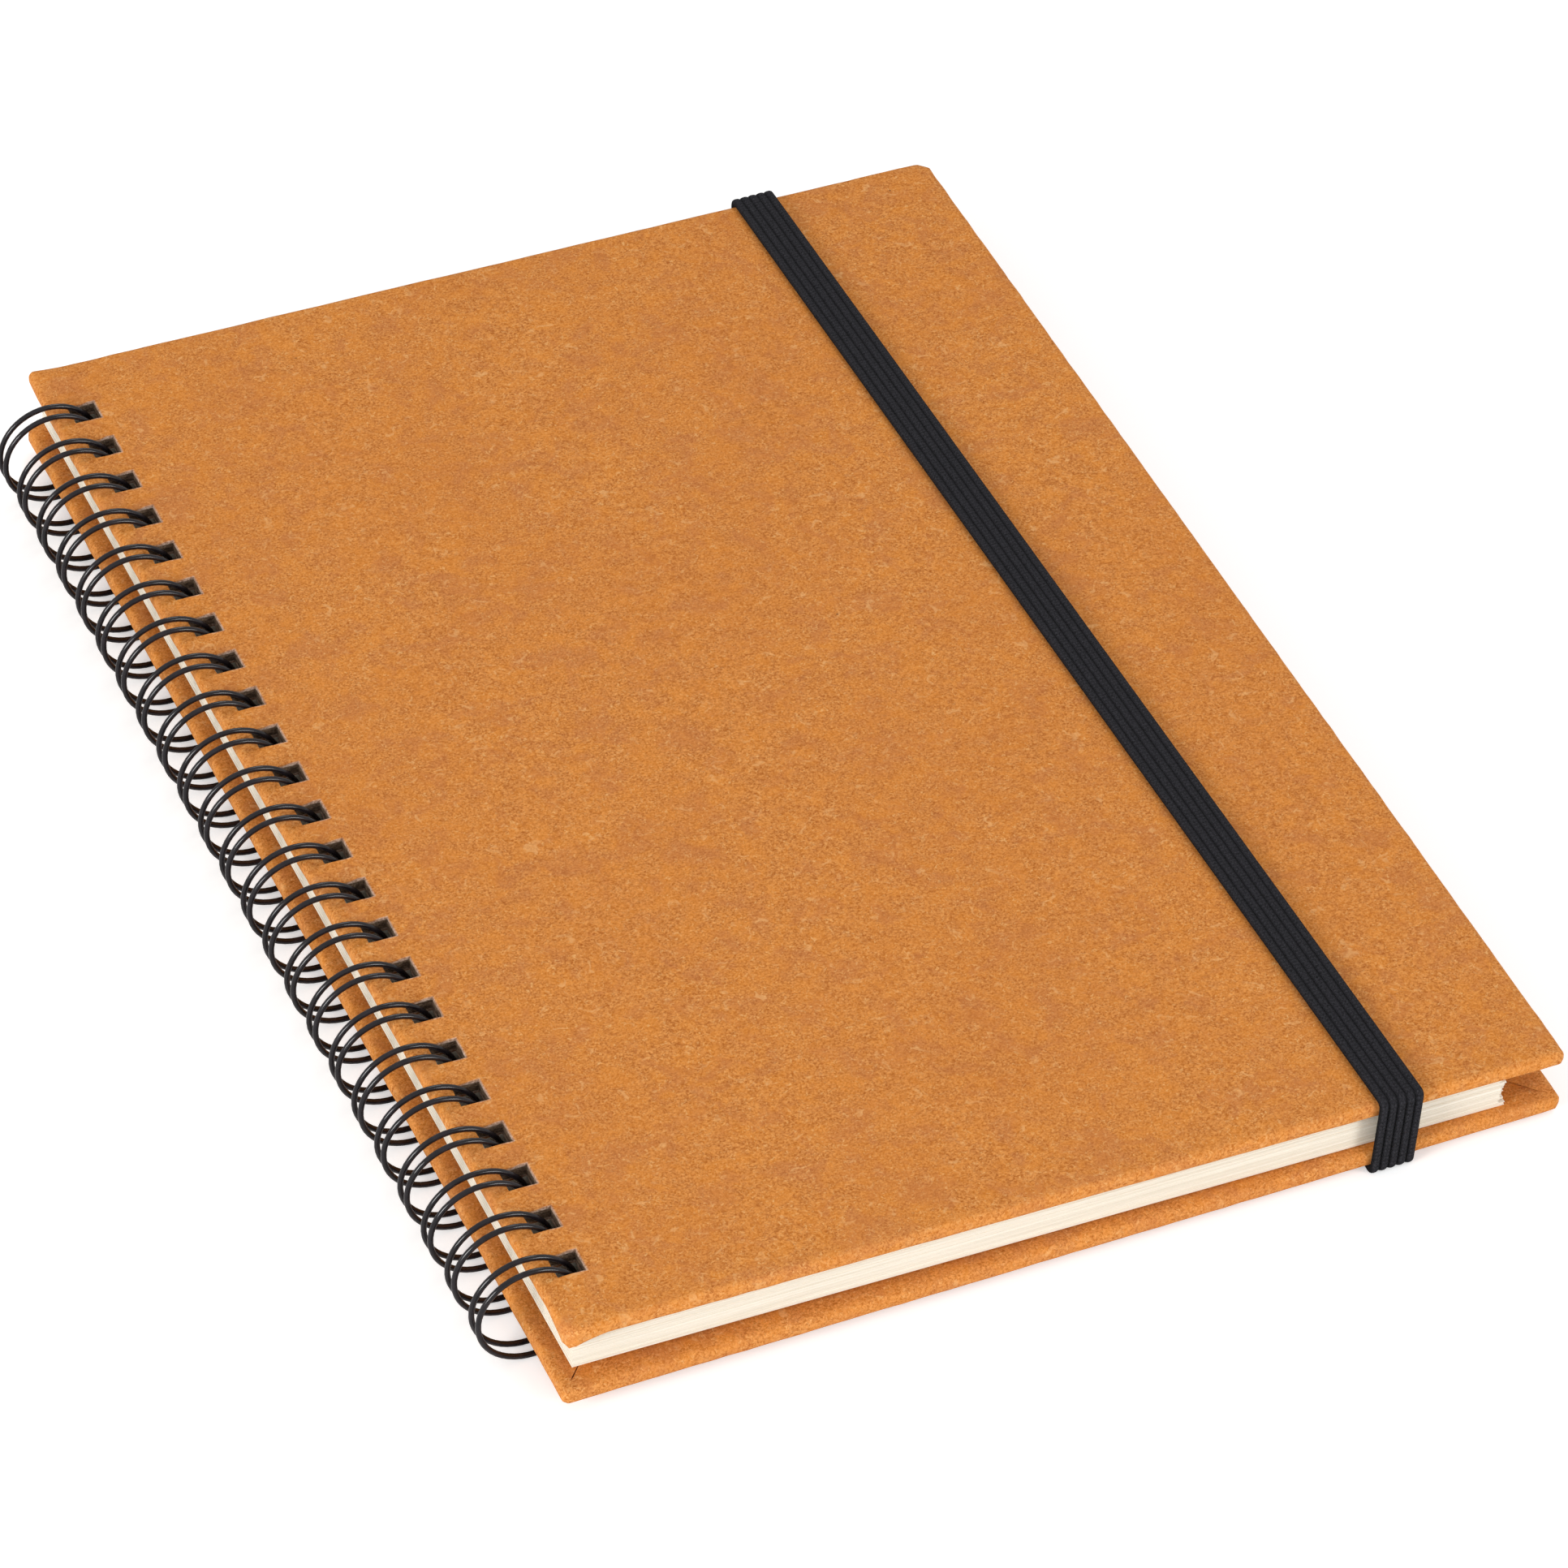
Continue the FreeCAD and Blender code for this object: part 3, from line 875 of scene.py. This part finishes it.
def elastic_band():
    """A ribbed band from one slit of the back cover, round the closed notebook, to the other slit."""
    half = elastic_thickness / 2
    end_y = half_length - slit_inset
    under = back_outside - elastic_face_gap - half
    side_y = half_length + elastic_side_gap + half
    side_top_y = half_length + elastic_top_gap + half
    lean_shift = half_length * math.tan(math.radians(elastic_lean_deg))
    spine_side = fore_edge - elastic_from_fore_edge - elastic_width / 2 - lean_shift
    top = front_outside + slope * (page_end - spine_side) + elastic_face_gap + half
    path = [(-end_y, back_inside - leather_thickness), (-end_y, under), (-side_y, under), (-side_top_y, top)]
    path += [(-y, z) for y, z in reversed(path)]
    route = rounded_route([Vector((0, y, z)) for y, z in path], elastic_bend_radius, run_step)
    centre = Vector((ring_axis.x + fore_edge - elastic_from_fore_edge, 0, 0))
    lean = Matrix.Translation(centre) @ Matrix.Rotation(math.radians(elastic_lean_deg), 4, "Z")
    points, faces = [], []
    values = {"rib": [], "run": [], "span": []}
    columns = rib_count * rib_steps
    run = 0.0
    last = route[0][0]
    for here, direction in route:
        run += (here - last).length
        last = here
        normal = Vector((1, 0, 0)).cross(direction)
        fall = max(0.0, min(1.0, (top - here.z) / (top - under)))
        way_back = max(0.0, min(1.0, (here.y + end_y) / (end_y - side_y))) if here.y < 0 else 0.0
        slip = Vector((-near_lean * fall * way_back, 0, 0))
        on_top = max(0.0, min(1.0, (here.z - top + 1.0)))
        depth = rib_depth_side + (rib_depth_top - rib_depth_side) * on_top
        outline = []
        for side in (1, -1):
            for k in range(columns + 1):
                share = k / columns
                rib = abs(math.sin(math.pi * rib_count * share)) ** rib_sharpness
                edge = min(share, 1 - share) * elastic_width
                shoulder = math.sqrt(max(0.0, 1 - (1 - min(edge, shoulder_width) / shoulder_width) ** 2))
                out = (half - depth * (1 - rib)) * (edge_share + (1 - edge_share) * shoulder)
                across = (share - 0.5) * elastic_width * side
                outline.append(here + slip + Vector((across, 0, 0)) - normal * (out * side))
                # Rib height for the material, which paints the grooves between ribs dark as painted shade.
                values["rib"].append(1 - (1 - rib) * depth / rib_depth_side)
                values["run"].append(run)
                values["span"].append(across)
        points += [lean @ p for p in outline]
    ring = 2 * (columns + 1)
    for index in range(len(route) - 1):
        low = index * ring
        for k in range(ring):
            following = (k + 1) % ring
            faces.append([low + k, low + following, low + ring + following, low + ring + k])
    faces.append(list(range(ring))[::-1])
    faces.append([len(points) - ring + k for k in range(ring)])
    return points, faces, values


band_points, band_faces, band_values = elastic_band()
band = new_piece("ribbed_elastic", band_points, band_faces, "back_cover", black_elastic,
                 ["elastic_band"], 70, band_values)
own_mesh(band)


dress_node("front_cover_board", greyboard)
dress_node("back_cover_board", greyboard)
dress_node("front_cover_liner", liner_card)
dress_node("back_cover_liner", liner_card)


# Floor, light and camera
floor_tilt_deg = 0.43
floor_size = 6.0
lamp_size = 0.6


def floor():
    """A white floor that keeps the shadow, lifted a little to white where the camera sees it."""
    material = bpy.data.materials.new("pale_floor")
    material.use_nodes = True
    tree = material.node_tree
    tree.nodes.clear()
    output = tree.nodes.new("ShaderNodeOutputMaterial")
    diffuse = tree.nodes.new("ShaderNodeBsdfDiffuse")
    diffuse.inputs["Color"].default_value = (0.9, 0.9, 0.9, 1)
    glow = tree.nodes.new("ShaderNodeEmission")
    path = tree.nodes.new("ShaderNodeLightPath")
    glow.inputs["Color"].default_value = (0.38, 0.38, 0.38, 1)
    tree.links.new(path.outputs["Is Camera Ray"], glow.inputs["Strength"])
    add = tree.nodes.new("ShaderNodeAddShader")
    tree.links.new(diffuse.outputs["BSDF"], add.inputs[0])
    tree.links.new(glow.outputs["Emission"], add.inputs[1])
    tree.links.new(add.outputs["Shader"], output.inputs["Surface"])
    mesh = bpy.data.meshes.new("floor")
    half = floor_size / 2
    corners = [(-half, -half, 0), (half, -half, 0), (half, half, 0), (-half, half, 0)]
    mesh.from_pydata(corners, [], [(0, 1, 2, 3)])
    mesh.materials.append(material)
    plane = bpy.data.objects.new("floor", mesh)
    bpy.context.scene.collection.objects.link(plane)
    touch = Matrix.Translation((ring_axis.x * MM, 0, 0))
    plane.matrix_world = touch @ Matrix.Rotation(-math.radians(floor_tilt_deg), 4, "Y")


def lamp(name, place, watts):
    """A round soft lamp aimed at the notebook."""
    data = bpy.data.lights.new(name, "AREA")
    data.shape = "DISK"
    data.size = lamp_size
    data.energy = watts
    obj = bpy.data.objects.new(name, data)
    bpy.context.scene.collection.objects.link(obj)
    obj.location = place
    obj.rotation_euler = (-Vector(place)).to_track_quat("-Z", "Y").to_euler()


def world(strength):
    """Even light of the given strength, which the camera and reflections see as plain white."""
    scene_world = bpy.data.worlds.new("studio")
    bpy.context.scene.world = scene_world
    scene_world.use_nodes = True
    tree = scene_world.node_tree
    tree.nodes.clear()
    output = tree.nodes.new("ShaderNodeOutputWorld")
    background = tree.nodes.new("ShaderNodeBackground")
    path = tree.nodes.new("ShaderNodeLightPath")
    seen = None
    for ray in ("Is Camera Ray", "Is Glossy Ray", "Is Transmission Ray"):
        if seen is None:
            seen = path.outputs[ray]
            continue
        either = tree.nodes.new("ShaderNodeMath")
        either.operation = "MAXIMUM"
        tree.links.new(seen, either.inputs[0])
        tree.links.new(path.outputs[ray], either.inputs[1])
        seen = either.outputs[0]
    level = tree.nodes.new("ShaderNodeMapRange")
    level.inputs["To Min"].default_value = strength
    level.inputs["To Max"].default_value = 1.0
    tree.links.new(seen, level.inputs["Value"])
    tree.links.new(level.outputs["Result"], background.inputs["Strength"])
    tree.links.new(background.outputs["Background"], output.inputs["Surface"])


floor()
world(0.62)
lamp("right_light", (0.75, -1.15, 0.5), 8.0)
lamp("left_light", (-1.3, -0.5, 0.5), 15.0)
lamp("back_light", (0.6, 0.9, 1.2), 4.2)

# The camera is where the photograph's was, 1.1 m off with a long lens
camera_from_axis = Vector((-256.47, -772.63, 722.67))
camera_turn_deg = (48.8430, -0.4811, -22.7580)
camera_lens = 185.24
camera_data = bpy.data.cameras.new("camera")
camera_data.lens = camera_lens
camera_data.sensor_width = 36.0
camera = bpy.data.objects.new("camera", camera_data)
bpy.context.scene.collection.objects.link(camera)
camera.location = (ring_axis + camera_from_axis) * MM
camera.rotation_euler = [math.radians(a) for a in camera_turn_deg]
bpy.context.scene.camera = camera
bpy.context.scene.view_settings.view_transform = "Standard"
